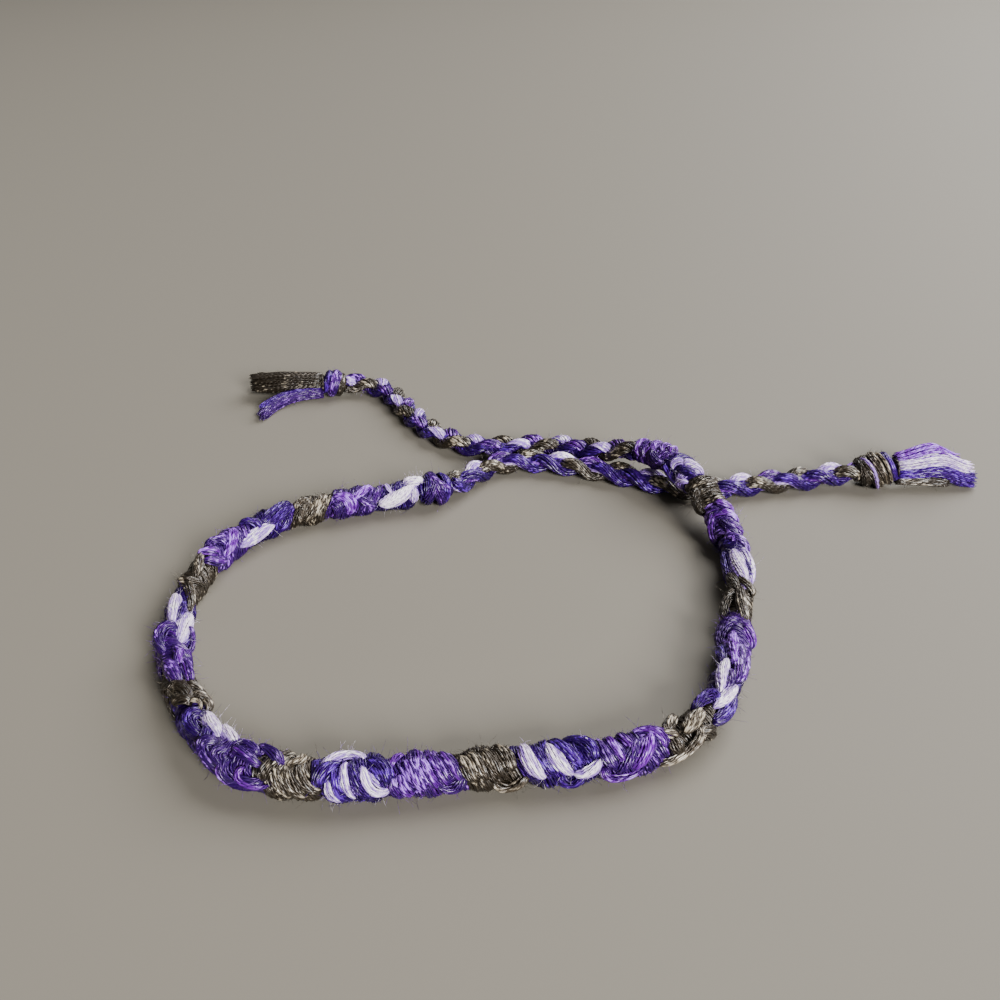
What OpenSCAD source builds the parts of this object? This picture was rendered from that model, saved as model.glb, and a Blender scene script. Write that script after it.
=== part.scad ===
// Woven friendship bracelet of six embroidery flosses, laid on a table with its two plaited ties loose.
// The knotted band is a chain of short blocks of hitches: brown, purple, and dark violet with white.
// Units are millimetres. X runs to the right, Y away from the wearer, Z up from the table.
// The origin lies on the table under the middle of the band's outline.

/* [Knotted band] */
// Height of one ring of hitches above the valley between two rings
hitch_groove = 0.16; // [0.05:0.01:0.25]
// How far the line of locked knots stands out of a block
knot_ridge = 0.26; // [0:0.02:0.4]
// How far the line of locked knots turns round the band over one block, in degrees
ridge_turn = 95; // [0:5:180]
// Clear gap between two blocks of hitches
block_gap = 0.06; // [0.02:0.01:0.2]
// Number of points round the band
band_sides = 12; // [10:2:14]

/* [Plaited ties] */
// Length of the plait over which a strand comes back to the same place
plait_pitch = 11; // [10:0.5:13]
// Width of one strand of the plait
strand_w = 1.16; // [1:0.02:1.16]
// Thickness of one strand of the plait
strand_t = 0.92; // [0.8:0.02:0.92]
// How far a strand swings to each side of the plait's middle line
plait_swing = 1.12; // [1.12:0.01:1.2]
// How far a strand rises and dips as it crosses the others
plait_lift = 0.8; // [0.8:0.01:0.84]

/* [End knots] */
// Thickness of the ball knot that closes the band
ball_knot_d = 4.4; // [4:0.1:4.8]
// Length of the ball knot along the band
ball_knot_l = 3.2; // [2.8:0.1:3.6]
// Thickness of the knot at the end of the right tie
right_knot_d = 4.6; // [4.2:0.1:5]
// Length of the knot at the end of the right tie
right_knot_l = 4.6; // [4:0.1:5]
// Thickness of the knot at the end of the left tie
left_knot_d = 4.1; // [3.8:0.1:4.5]
// Length of the knot at the end of the left tie
left_knot_l = 3; // [2.6:0.1:3.4]

/* [Tassels] */
// Length of the cut ends past the right tie's knot
right_tassel_l = 9.4; // [8:0.2:11]
// Length of the cut ends past the left tie's knot
left_tassel_l = 10; // [8:0.2:11]

/* [Hidden] */
// Where the band's raised end starts, and the way that it heads there, in degrees from X
BAND_START = [19.6, 24.9];
BAND_HEADING = -45;
// Height of the raised end's underside above the table, where the band leaves its tie
BAND_START_LIFT = 2.4;
// How far the floss turns inside the ball knot, in degrees
BALL_TURN = 28;

// The blocks of hitches in the order that they are worked, clockwise round the loop seen from above.
// length along the middle line, turn to the left in degrees, width over the hitches,
// lift of the underside at the block's far end, hitches in the block, and the angle
// from the loop's outside over its top at which the line of knots starts.
BLOCKS = [
  // colour      length turn width lift hitches ridge
  ["purple",     5.3, -11, 3.7, 2.8, 4, 120],
  ["dark_white", 4.3,  -8, 3.9, 1.9, 3, 60],
  ["brown",      3.9, -10, 3.9, 0.8, 3, 215],
  ["purple",     5.0, -14, 3.8, 0.0, 4, 200],
  ["dark_white", 7.6, -13, 3.7, 0.0, 4, 70],
  ["brown",      6.2,  -4, 3.6, 0.0, 4, 230],
  ["purple",     5.4,  -3, 3.9, 0.0, 4, 60],
  ["dark_white", 6.8, -15, 3.8, 0.0, 4, 210],
  ["brown",      6.3, -30, 3.9, 0.0, 4, 190],
  ["purple",     5.8, -20, 3.8, 0.0, 4, 140],
  ["dark_white", 6.1,  -3, 3.9, 0.0, 3, 150],
  ["brown",      4.8,   5, 3.8, 0.0, 4, 120],
  ["purple",     5.2,  -4, 3.8, 0.0, 4, 120],
  ["dark_white", 5.5,  -6, 4.0, 0.0, 3, 130],
  ["brown",      4.4, -15, 3.8, 0.0, 3, 130],
  ["purple",     5.6, -32, 4.2, 0.0, 4, 100],
  ["dark_white", 5.8, -11, 3.9, 0.0, 3, 60],
  ["brown",      3.6,  -8, 3.9, 0.0, 3, 150],
  ["purple",     6.5, -12, 4.0, 0.0, 4, 60],
  ["dark_white", 5.6, -11, 3.6, 0.0, 3, 150],
  ["brown",      6.2, -17, 3.6, 0.0, 4, 200],
  ["purple",     5.7, -17, 3.9, 0.0, 4, 130],
  ["dark_white", 5.9, -24, 3.7, 0.0, 3, 160],
  ["brown",      4.2, -13, 3.6, 0.0, 3, 120],
  ["purple",     5.6,  -2, 3.9, 0.0, 4, 200],
  ["dark_white", 4.8,  -8, 3.8, 0.0, 3, 150]];

// Middle lines of the two ties, from the band to the end knot, in round numbers.
RIGHT_TIE = [
  [-2.8, 20.4, 2.0], [-1.6, 21.5, 1.7], [-0.4, 23.1, 1.4], [0.9, 24.9, 1.3], [2.6, 26.3, 1.3],
  [4.7, 27.1, 1.3], [7.0, 27.2, 1.3], [9.4, 26.8, 1.3], [11.8, 26.1, 1.3], [14.0, 25.4, 1.3],
  [16.1, 24.6, 1.3], [18.3, 23.6, 1.3], [20.7, 22.4, 1.3], [23.4, 21.2, 1.3], [26.2, 20.6, 1.3],
  [29.0, 20.7, 1.3], [31.6, 21.4, 1.3], [34.4, 22.1, 1.3], [37.4, 22.6, 1.3], [40.4, 23.1, 1.4],
  [42.8, 23.5, 1.6], [45.0, 23.6, 1.9]];
LEFT_TIE = [
  [19.5, 25.0, 4.1], [18.1, 26.0, 3.5], [16.4, 27.2, 2.8], [14.4, 28.6, 2.2], [12.3, 29.8, 1.8],
  [10.1, 30.6, 1.5], [7.8, 31.0, 1.4], [5.5, 31.1, 1.3], [3.3, 30.9, 1.3], [1.1, 30.9, 1.3],
  [-1.1, 31.5, 1.3], [-3.2, 32.9, 1.3], [-5.2, 34.8, 1.3], [-7.0, 37.2, 1.3], [-8.6, 40.0, 1.3],
  [-10.0, 42.9, 1.3], [-11.6, 45.9, 1.3], [-13.6, 48.2, 1.3], [-16.0, 49.1, 1.5], [-18.4, 48.8, 1.8]];
STRANDS = ["brown", "purple", "dark_white"];

// Locks of the tassels: floss colour, the way that each splays from the tie's heading in degrees,
// half width, half thickness, share of the tassel's length, height of its middle half way along,
// and at its far end
RIGHT_LOCKS = [
  // colour     splay half_w half_t share mid  end
  ["purple",     14, 1.20, 1.00, 0.86, 3.3, 2.6],
  ["white",       3, 1.10, 0.95, 1.00, 2.9, 1.7],
  ["dark",       -6, 1.00, 0.95, 0.98, 1.7, 0.9],
  ["brown",     -16, 1.05, 0.90, 0.84, 1.0, 0.9]];
LEFT_LOCKS = [
  // colour     splay half_w half_t share mid  end
  ["brown",     -29, 1.40, 1.20, 1.00, 1.7, 1.5],
  ["brown",     -15, 1.40, 1.30, 0.98, 2.1, 1.9],
  ["purple",     31, 0.90, 0.80, 1.05, 0.9, 0.8],
  ["dark",       11, 0.85, 0.80, 0.92, 1.0, 0.8]];

BROWN = "#6f6048";
PURPLE = "#7a4fb5";
DARK_WHITE = "#8f7ccf";

FLAT_UNDER = 0.2;         // what hangs this close to the table is pressed flat on it
BED_SINK = 0.07;          // share of a block's half width that its own weight presses away
RIDGE_POWER = 4;          // how narrow the line of locked knots is
RINGS_PER_HITCH = 2;      // one in the valley and one on the crest
CORD_SIDES = 8;
RINGS_PER_PITCH = 12;     // a ring at every crossing of the plait
KNOT_RINGS = 6;
KNOT_SINK = 0.1;          // share of a knot's half thickness that is pressed away under it
KNOT_END = 0.8;           // how thick a knot is at its ends, as a share of its middle
KNOT_WRAP = 0.03;         // how far the last pass of floss stands out of a knot, as a share
TASSEL_GAP = 0.05;
HEAD_LENGTH = 1.6;        // length over which the locks are still held together by the knot
HEAD_NEAR = 0.72;         // thickness of that head as a share of the knot's, at the knot
HEAD_FAR = 0.5;           // and at its other end
LOCK_SIDES = 6;
LOCK_RINGS = 4;
LOCK_ROOT = 0.75;         // how thick a lock is at its root, as a share of the table's
LOCK_SWELL = 0.35;        // how much it fills out on the way
LOCK_ARC = 150;           // degrees of a sine over which it does, so that its cut end stays full

BLOCK_COUNT = len(BLOCKS);
function colour(i) = BLOCKS[i][0];
function block_length(i) = BLOCKS[i][1];
function block_turn(i) = BLOCKS[i][2];
function block_width(i) = BLOCKS[i][3];
function end_lift(i) = i < 0 ? BAND_START_LIFT : BLOCKS[i][4];
function hitches(i) = BLOCKS[i][5];
function ridge_start(i) = BLOCKS[i][6];

// Names of the blocks: each colour is counted from the raised end.
function count_before(i) = len([for (j = [0:1:i - 1]) if (colour(j) == colour(i)) j]);
function block_name(i) = str(colour(i), "_hitches_", count_before(i) + 1);
BLOCK_NAMES = [for (i = [0:BLOCK_COUNT - 1]) block_name(i)];

// Where each block starts: x, y and heading.
function walk(from, length, turn) =
  let (radius = abs(turn) < 0.01 ? 0 : length / (turn * PI / 180))
  radius == 0
    ? [from[0] + length * cos(from[2]), from[1] + length * sin(from[2]), from[2]]
    : [from[0] + radius * (sin(from[2] + turn) - sin(from[2])),
       from[1] - radius * (cos(from[2] + turn) - cos(from[2])), from[2] + turn];
BLOCK_STARTS = [for (i = 0, at = [BAND_START[0], BAND_START[1], BAND_HEADING]; i <= BLOCK_COUNT;
  at = i < BLOCK_COUNT ? walk(at, block_length(i), block_turn(i)) : at, i = i + 1) at];
BAND_END = BLOCK_STARTS[BLOCK_COUNT];

function ease(u) = u * u * (3 - 2 * u);
function mix(a, b, u) = a + (b - a) * u;
function side_of(heading) = [-sin(heading), cos(heading), 0];
function ahead_of(heading) = [cos(heading), sin(heading), 0];
function on_table(p) = [p[0], p[1], p[2] < FLAT_UNDER ? 0 : p[2]];

// A ring of points round a middle, in the upright plane across the heading.
// The angle starts on the left of the heading and passes over the top.
function ring(middle, heading, sides, half_w, half_t) =
  [for (k = [0:sides - 1])
    let (angle = 360 * (k + 0.5) / sides)
    on_table(middle + side_of(heading) * half_w * cos(angle) + [0, 0, half_t * sin(angle)])];

// One ring of a block of hitches: low between two hitches, and raised where the knots are locked.
function hitch_ring(i, u) =
  let (place = walk(BLOCK_STARTS[i], block_length(i) * u, block_turn(i) * u),
       crest = (1 - cos(360 * hitches(i) * u)) / 2,
       half_w = block_width(i) / 2,
       lift = mix(end_lift(i - 1), end_lift(i), ease(u)),
       middle = [place[0], place[1], lift + half_w * (1 - BED_SINK)],
       ridge_at = ridge_start(i) - ridge_turn * u)
  [for (k = [0:band_sides - 1])
    let (angle = 360 * (k + 0.5) / band_sides,
         ridge = knot_ridge * crest * pow(max(0, cos(angle - ridge_at)), RIDGE_POWER),
         radius = half_w - hitch_groove * (1 - crest) + ridge - knot_ridge / 4)
    on_table(middle + side_of(place[2]) * radius * cos(angle) + [0, 0, radius * sin(angle)])];

// A closed solid lofted through rings of equally many points; each end is closed round its middle.
function middle_of(points) =
  [for (axis = [0:2]) let (all = [for (p = points) p[axis]]) (max(all) + min(all)) / 2];
module loft(rings) {
  sides = len(rings[0]);
  last = len(rings) - 1;
  points = concat([for (one = rings) each one], [middle_of(rings[0]), middle_of(rings[last])]);
  walls = [for (j = [0:last - 1], k = [0:sides - 1])
    let (a = j * sides + k, b = j * sides + (k + 1) % sides)
    each [[a, b + sides, b], [a, a + sides, b + sides]]];
  near_end = [for (k = [0:sides - 1]) [k, (k + 1) % sides, (last + 1) * sides]];
  far_end = [for (k = [0:sides - 1])
    [last * sides + (k + 1) % sides, last * sides + k, (last + 1) * sides + 1]];
  polyhedron(points, concat(walls, near_end, far_end));
}

module block(i) {
  trim = block_gap / 2 / block_length(i);
  steps = RINGS_PER_HITCH * hitches(i);
  loft([for (j = [0:steps]) hitch_ring(i, mix(trim, 1 - trim, j / steps))]);
}

// A tie's middle line as a smooth curve through its route's points, found by the distance along it.
function reach(route) = [for (i = 0, d = 0; i < len(route);
  d = d + (i < len(route) - 1 ? norm(route[i + 1] - route[i]) : 0), i = i + 1) d];
function bend(a, b, c, d, u) =
  b + 0.5 * u * (c - a + u * (2 * a - 5 * b + 4 * c - d + u * (3 * (b - c) + d - a)));
function beyond(route, i) = i < 0 ? 2 * route[0] - route[1]
  : i > len(route) - 1 ? 2 * route[i - 1] - route[i - 2] : route[i];
function along(route, distances, d) =
  let (last = len(route) - 1,
       i = min(last - 1, len([for (k = [1:last]) if (distances[k] < d) k])),
       u = (d - distances[i]) / (distances[i + 1] - distances[i]))
  bend(beyond(route, i - 1), route[i], route[i + 1], beyond(route, i + 2), u);
function heading_along(route, distances, d) =
  let (step = 0.2, v = along(route, distances, d + step) - along(route, distances, d - step))
  atan2(v[1], v[0]);

module strand(route, number) {
  distances = reach(route);
  length = distances[len(route) - 1];
  steps = round(length / plait_pitch * RINGS_PER_PITCH);
  loft([for (j = [0:steps])
    let (d = length * j / steps,
         phase = 360 * d / plait_pitch + 120 * number,
         heading = heading_along(route, distances, d),
         middle = along(route, distances, d) + side_of(heading) * plait_swing * sin(phase)
           + [0, 0, plait_lift * sin(2 * phase)])
    ring(middle, heading, CORD_SIDES, strand_w / 2, strand_t / 2)]);
}

// A pulled-tight knot: a short barrel, full in the middle, with the last pass of floss round it.
// Its far face may look another way than its near face, because the floss turns inside it.
module knot(from, length, thick, turn = 0) {
  loft([for (j = [0:KNOT_RINGS])
    let (u = j / KNOT_RINGS,
         place = walk(from, length * u, turn * u),
         belly = mix(KNOT_END, 1, sin(180 * u)) + KNOT_WRAP * cos(720 * u),
         half = thick / 2 * belly)
    ring([place[0], place[1], thick / 2 * (1 - KNOT_SINK)], place[2], band_sides, half, half)]);
}

// Cut ends past a knot: soft locks of floss that start in a common head and splay.
module tassel(at, length, thick, locks) {
  heading = at[2];
  held_at = thick / 2 * (1 - KNOT_SINK);
  union() {
    loft([for (u = [0:0.5:1])
      let (half = thick / 2 * mix(HEAD_NEAR, HEAD_FAR, u))
      ring([at[0], at[1], held_at] + ahead_of(heading) * mix(TASSEL_GAP, HEAD_LENGTH, u),
           heading, CORD_SIDES, half, half)]);
    for (lock = locks)
      loft([for (j = [0:LOCK_RINGS]) lock_ring(at, held_at, length, lock, j / LOCK_RINGS)]);
  }
}
function lock_ring(at, held_at, length, lock, u) =
  let (way = at[2] + lock[1] * u,
       full = LOCK_ROOT + LOCK_SWELL * sin(LOCK_ARC * u),
       falls = u < 0.5 ? mix(held_at, lock[5], ease(2 * u)) : mix(lock[5], lock[6], ease(2 * u - 1)),
       height = max(lock[3] * full, falls))
  ring([at[0], at[1], height] + ahead_of(way) * mix(HEAD_LENGTH / 2, length * lock[4], u),
       way, LOCK_SIDES, lock[2] * full, lock[3] * full);

// Where a tie ends and the way that it heads there, and the same place further along that way.
function end_of(route) =
  let (distances = reach(route), last = len(route) - 1)
  [route[last][0], route[last][1], heading_along(route, distances, distances[last])];
RIGHT_END = walk(end_of(RIGHT_TIE), block_gap, 0);
LEFT_END = walk(end_of(LEFT_TIE), block_gap, 0);

module band_block(i) {
  shade = colour(i) == "brown" ? BROWN : colour(i) == "purple" ? PURPLE : DARK_WHITE;
  color(shade) block(i);
}
module ball_knot() {
  color(PURPLE) knot(walk(BAND_END, block_gap, 0), ball_knot_l, ball_knot_d, BALL_TURN);
}
module tie_strand(route, number) {
  color([BROWN, PURPLE, DARK_WHITE][number]) strand(route, number);
}
module right_knot() {
  color(BROWN) knot(RIGHT_END, right_knot_l, right_knot_d);
}
module left_knot() {
  color(PURPLE) knot(LEFT_END, left_knot_l, left_knot_d);
}
module right_tassel() {
  color(PURPLE) tassel(walk(RIGHT_END, right_knot_l, 0), right_tassel_l, right_knot_d, RIGHT_LOCKS);
}
module left_tassel() {
  color(BROWN) tassel(walk(LEFT_END, left_knot_l, 0), left_tassel_l, left_knot_d, LEFT_LOCKS);
}

RIGHT_STRANDS = [for (name = STRANDS) str("right_tie_", name)];
LEFT_STRANDS = [for (name = STRANDS) str("left_tie_", name)];

for (i = [0:BLOCK_COUNT - 1]) band_block(i);
ball_knot();
for (k = [0:2]) tie_strand(RIGHT_TIE, k);
right_knot();  // right_end_knot
right_tassel();
for (k = [0:2]) tie_strand(LEFT_TIE, k);
left_knot();  // left_end_knot
left_tassel();
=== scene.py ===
"""Woven friendship bracelet of six embroidery flosses, laid on a pale table.

Distances are in millimetres until a mesh is built. Angles round the band and the ties are in
degrees, from the left of the way that the floss runs, over the top.
"""

import bpy
import numpy as np
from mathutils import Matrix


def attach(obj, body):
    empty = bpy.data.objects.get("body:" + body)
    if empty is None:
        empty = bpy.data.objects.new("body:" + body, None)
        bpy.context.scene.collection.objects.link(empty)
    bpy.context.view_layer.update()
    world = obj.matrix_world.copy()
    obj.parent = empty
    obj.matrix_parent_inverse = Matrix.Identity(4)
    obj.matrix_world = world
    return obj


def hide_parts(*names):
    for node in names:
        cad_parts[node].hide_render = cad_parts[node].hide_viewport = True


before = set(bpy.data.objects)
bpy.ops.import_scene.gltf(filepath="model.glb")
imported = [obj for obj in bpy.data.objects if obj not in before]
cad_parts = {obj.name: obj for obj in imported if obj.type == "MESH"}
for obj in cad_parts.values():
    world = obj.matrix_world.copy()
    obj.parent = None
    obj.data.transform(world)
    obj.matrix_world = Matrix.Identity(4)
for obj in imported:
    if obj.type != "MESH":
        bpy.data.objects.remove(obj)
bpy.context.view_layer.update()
bpy.ops.object.select_all(action="DESELECT")
MM = 0.001

# Camera
# It looks down on the bracelet at about thirty degrees, from just above the near edge of the table,
# with the lens of a phone held close.
CAMERA_PLACE = (3.15, -79.27, 60)
CAMERA_TILT = 58.9     # degrees up from looking straight down
CAMERA_LENS = 36.108   # focal length, on a sensor 36 mm wide
NEAREST_SEEN = 1       # distance from which the camera sees
bpy.ops.object.camera_add(location=[v * MM for v in CAMERA_PLACE],
                          rotation=(np.radians(CAMERA_TILT), 0, 0))
camera = bpy.context.object
camera.name = "camera"
camera.data.lens = CAMERA_LENS
camera.data.sensor_width = 36
camera.data.clip_start = NEAREST_SEEN * MM
bpy.context.scene.camera = camera


# Embroidery floss
# Six-ply mercerised cotton in four colours: brown, purple, dark violet and a lilac white. Each ply is
# spun of two strands twisted together, so it has a fine slanting grain and glints along its length.
# The glints are glossier slivers, and are also painted in as highlights.
class Signal:
    """A socket of a material's nodes. Sums and products of signals add Math nodes."""

    def __init__(self, tree, socket=None):
        self.tree, self.socket = tree, socket

    def node(self, kind, output, inputs=(), **settings):
        """Adds one node, with its settings first, then its sockets, and gives one output."""
        new = self.tree.nodes.new("ShaderNode" + kind)
        for name, value in settings.items():
            setattr(new, name, value)
        for name, value in dict(inputs).items():
            if isinstance(value, Signal):
                self.tree.links.new(value.socket, new.inputs[name])
            else:
                new.inputs[name].default_value = value
        return Signal(self.tree, new.outputs[output])

    def maths(self, operation, *values):
        """Adds a Math node on signals or numbers."""
        return self.node("Math", 0, enumerate(values), operation=operation)

    def __add__(self, other):
        return self.maths("ADD", self, other)

    def __sub__(self, other):
        return self.maths("SUBTRACT", self, other)

    def __rsub__(self, other):
        return self.maths("SUBTRACT", other, self)

    def __mul__(self, other):
        return self.maths("MULTIPLY", self, other)


TWIST_LEAD = 1.25     # length over which a ply's two strands come round once
FIBRE = 9000          # cotton fibres per metre across a ply
# slivers are glossier, and painted lighter as highlights
SLIVER = 1.6          # bright slivers per millimetre along a ply
GROOVE = 0.08         # depth of the groove between a ply's strands, for the bump
PLY_TIP = 0.45        # share of its thickness that a ply keeps at its two ends
HAIR = 0.010          # half thickness of a stray fibre
HAIR_LENGTHS = (0.2, 1.1)   # its least and greatest length


def floss_finish(name, deep, bright, glint, shine, roughness, sheen):
    """Cotton floss: painted shade in its grooves, painted light where it is raised, slivers of painted
    glint.

    The weights in light, spark and gloss were set against the photo.
    """
    finish = bpy.data.materials.new(name)
    finish.use_nodes = True
    tree = finish.node_tree
    shader = tree.nodes["Principled BSDF"]
    start = Signal(tree)
    ply = start.node("UVMap", "UV", uv_map="ply")
    along = start.node("SeparateXYZ", "X", {0: ply})
    round_ply = start.node("SeparateXYZ", "Y", {0: ply})
    tone = start.node("Attribute", "Fac", attribute_name="tone")

    def noise(place, scale, detail):
        return start.node("TexNoise", "Fac", {"Vector": place, "Scale": scale, "Detail": detail})

    # the two twisted strands, the fibres, and the patches in which the painted glints gather
    turn = (along * (1 / TWIST_LEAD) + round_ply) * (2 * np.pi)
    strands = start.maths("ABSOLUTE", start.maths("SINE", turn))
    place = start.node("TexCoord", "Object")
    fibres = noise(place, FIBRE, 2.0)
    blotch = noise(place, FIBRE / 12, 1.0)
    patch = noise(place, FIBRE / 18, 0.0)
    # slivers, glossier and painted lighter as highlights, run along the ply and right across it; the
    # cosine hides the map's seam at the crown
    facing = start.maths("COSINE", round_ply * (2 * np.pi))
    run = start.node("CombineXYZ", "Vector", {0: along * SLIVER, 1: facing * 0.35})
    slivers = noise(run, 1.0, 0.0)

    # painted light and shade: from the shade colour in the grooves between strands and on shaded plies
    # to the lit colour on slivers and lit plies, with random fibres and blotches
    light = strands * 0.26 + fibres * 0.3 + slivers * 1.2 + blotch * 0.5 + tone * 1.3 - 1.62
    light = start.node("Clamp", "Result", {"Value": light})
    colour = start.node("Mix", 2, {0: light, 6: (*deep, 1), 7: (*bright, 1)}, data_type="RGBA")
    # painted highlight: a lighter glint colour on slivers, gathered in patches, more of it on lit plies
    spark = (slivers - 0.5) * 5 + strands * 0.6 + tone * 1.3 + patch * 3.2 - 3.1
    spark = start.node("Clamp", "Result", {"Value": spark, "Max": 0.72})
    colour = start.node("Mix", 2, {0: spark, 6: colour, 7: (*glint, 1)}, data_type="RGBA")
    bump = start.node("Bump", "Normal", {"Height": strands * 0.8 + fibres * 0.1,
                                         "Strength": 0.9, "Distance": GROOVE * MM})
    gloss = start.node("Clamp", "Result", {"Value": (slivers - 0.48) * 6, "Max": 0.8})
    for socket, signal in {"Base Color": colour, "Normal": bump, "Coat Weight": gloss,
                           "Roughness": roughness + 0.36 - slivers * 0.6}.items():
        tree.links.new(signal.socket, shader.inputs[socket])
    for socket, value in {"Coat Roughness": 0.34, "Coat IOR": 1.7, "Sheen Weight": sheen,
                          "Sheen Roughness": 0.4, "Sheen Tint": (*bright, 1), "IOR": 1.62,
                          "Specular IOR Level": 0.45, "Specular Tint": (*shine, 1)}.items():
        shader.inputs[socket].default_value = value
    return finish


# colours of painted shade, painted light and painted glint (deep, bright, glint), colour of the shine,
# roughness and sheen
FINISHES = {
    "b": floss_finish("brown_floss", (0.009, 0.006, 0.003), (0.066, 0.050, 0.033),
                      (0.44, 0.37, 0.27), (1.0, 0.88, 0.78), 0.28, 0.03),
    "p": floss_finish("purple_floss", (0.015, 0.000, 0.060), (0.138, 0.006, 0.325),
                      (0.45, 0.17, 0.94), (0.68, 0.38, 1.0), 0.28, 0.0),
    "d": floss_finish("dark_violet_floss", (0.008, 0.000, 0.040), (0.036, 0.000, 0.150),
                      (0.105, 0.015, 0.44), (0.46, 0.18, 1.0), 0.30, 0.0),
    "w": floss_finish("lilac_white_floss", (0.260, 0.130, 0.520), (1.000, 0.850, 1.000),
                      (1.0, 0.94, 1.0), (0.96, 0.90, 1.0), 0.5, 0.1),
}


class Floss:
    """Plies of floss joined into one mesh. Each ply is a thin tube along its own path."""

    def __init__(self, seed):
        self.chance = np.random.default_rng(seed)
        self.points, self.tones, self.roots = [], [], []
        self.starts, self.corners, self.uvs, self.slots = [], [], [], []
        self.point_count = self.corner_count = 0

    def lay(self, paths, outward, finish, thick, wide=None, sides=5, spread=0.28, tone=0.5,
            fuzzy=True):
        """Lays plies (ply, point, xyz), half as thick along outward and half as wide across it."""
        paths = np.asarray(paths, float)
        plies, steps = paths.shape[:2]
        outward = np.broadcast_to(outward, paths.shape)
        wide = thick if wide is None else wide
        ahead = np.gradient(paths, axis=1)
        ahead /= np.linalg.norm(ahead, axis=2, keepdims=True)
        across = np.cross(ahead, outward)
        across /= np.linalg.norm(across, axis=2, keepdims=True)
        up = np.cross(across, ahead)
        turn = 2 * np.pi * np.arange(sides) / sides
        taper = np.ones(steps)
        taper[[0, -1]] = PLY_TIP
        ring = (up[:, :, None] * (np.cos(turn) * thick)[:, None]
                + across[:, :, None] * (np.sin(turn) * wide)[:, None]) * taper[:, None, None]
        self.points.append((paths[:, :, None] + ring).reshape(-1, 3))
        # each ply is lighter or darker at random than the painted light and shade that it is given
        tones = tone + self.chance.uniform(-spread, spread, (plies, 1))
        self.tones.append(np.repeat(np.broadcast_to(tones, (plies, steps)), sides))

        ply, step, side = np.meshgrid(np.arange(plies), np.arange(steps - 1), np.arange(sides),
                                      indexing="ij")
        after = (side + 1) % sides

        def corner(step_at, side_at):
            return self.point_count + (ply * steps + step_at) * sides + side_at

        walls = np.stack([corner(step, side), corner(step, after),
                          corner(step + 1, after), corner(step + 1, side)], -1).reshape(-1, 4)
        reach = np.concatenate([np.zeros((plies, 1)), np.cumsum(
            np.linalg.norm(np.diff(paths, axis=1), axis=2), axis=1)], axis=1)
        reach += self.chance.uniform(0, 5, (plies, 1))
        u = np.stack([reach[ply, step], reach[ply, step],
                      reach[ply, step + 1], reach[ply, step + 1]], -1)
        v = np.stack([side, side + 1, side + 1, side], -1) / sides
        wall_uvs = np.stack([u, v], -1).reshape(-1, 2)

        rim = np.arange(sides)
        near = self.point_count + (np.arange(plies) * steps * sides)[:, None] + rim[::-1]
        far = self.point_count + ((np.arange(plies) * steps + steps - 1) * sides)[:, None] + rim
        caps = np.concatenate([near, far])
        cap_uvs = np.stack([np.repeat(np.concatenate([reach[:, 0], reach[:, -1]]), sides),
                            np.tile(rim / sides, 2 * plies)], -1)
        self.starts += [self.corner_count + 4 * np.arange(len(walls)),
                        self.corner_count + walls.size + sides * np.arange(2 * plies)]
        self.corners += [walls.ravel(), caps.ravel()]
        self.uvs += [wall_uvs, cap_uvs]
        self.slots.append(np.full(len(walls) + 2 * plies, list(FINISHES).index(finish)))
        self.corner_count += walls.size + caps.size
        self.point_count += plies * steps * sides
        if fuzzy:
            self.roots.append((paths[:, 1:-1].reshape(-1, 3), up[:, 1:-1].reshape(-1, 3),
                               across[:, 1:-1].reshape(-1, 3), thick, finish))

    def fuzz(self, share):
        """Lets stray fibres stand out of the plies, share of a fibre for each point of a path."""
        for root, up, across, thick, finish in self.roots:
            count = int(self.chance.poisson(share * len(root)))
            if not count:
                continue
            at = self.chance.integers(0, len(root), count)
            lean = self.chance.normal(0, 0.9, (count, 1))
            way = up[at] + across[at] * lean + self.chance.normal(0, 0.35, (count, 3))
            way /= np.linalg.norm(way, axis=1, keepdims=True)
            curl = self.chance.normal(0, 0.5, (count, 3))
            long = self.chance.gamma(2.0, 0.26, (count, 1)).clip(*HAIR_LENGTHS)
            t = np.linspace(0, 1, 5)[None, :, None]
            paths = (root[at] + up[at] * thick * 0.7)[:, None] + long[:, None] * (
                way[:, None] * t + curl[:, None] * t ** 2 * 0.5)
            paths[..., 2] = np.maximum(paths[..., 2], 2 * HAIR)
            side = np.cross(way, curl)[:, None] + 0.001
            self.lay(paths, side, finish, HAIR, sides=3, tone=0.8, fuzzy=False)

    def piece(self, node, slot):
        """Joins all that was laid into one mesh that stands for the solid of that name."""
        name = node + "_floss"
        mesh = bpy.data.meshes.new(name)
        points, corners = np.concatenate(self.points), np.concatenate(self.corners)
        starts = np.concatenate(self.starts)
        mesh.vertices.add(len(points))
        mesh.vertices.foreach_set("co", (points * MM).astype(np.float32).ravel())
        mesh.loops.add(len(corners))
        mesh.loops.foreach_set("vertex_index", corners.astype(np.int32))
        mesh.polygons.add(len(starts))
        mesh.polygons.foreach_set("loop_start", starts.astype(np.int32))
        for finish in FINISHES.values():
            mesh.materials.append(finish)
        mesh.polygons.foreach_set("material_index", np.concatenate(self.slots).astype(np.int32))
        mesh.polygons.foreach_set("use_smooth", np.ones(len(starts), bool))
        ply_map = mesh.uv_layers.new(name="ply")
        ply_map.data.foreach_set("uv", np.concatenate(self.uvs).astype(np.float32).ravel())
        tone = mesh.attributes.new("tone", "FLOAT", "POINT")
        tone.data.foreach_set("value", np.concatenate(self.tones).astype(np.float32))
        mesh.update()
        mesh.validate()
        laid = bpy.data.objects.new(name, mesh)
        bpy.context.scene.collection.objects.link(laid)
        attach(laid, "root")
        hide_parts(node)


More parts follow.
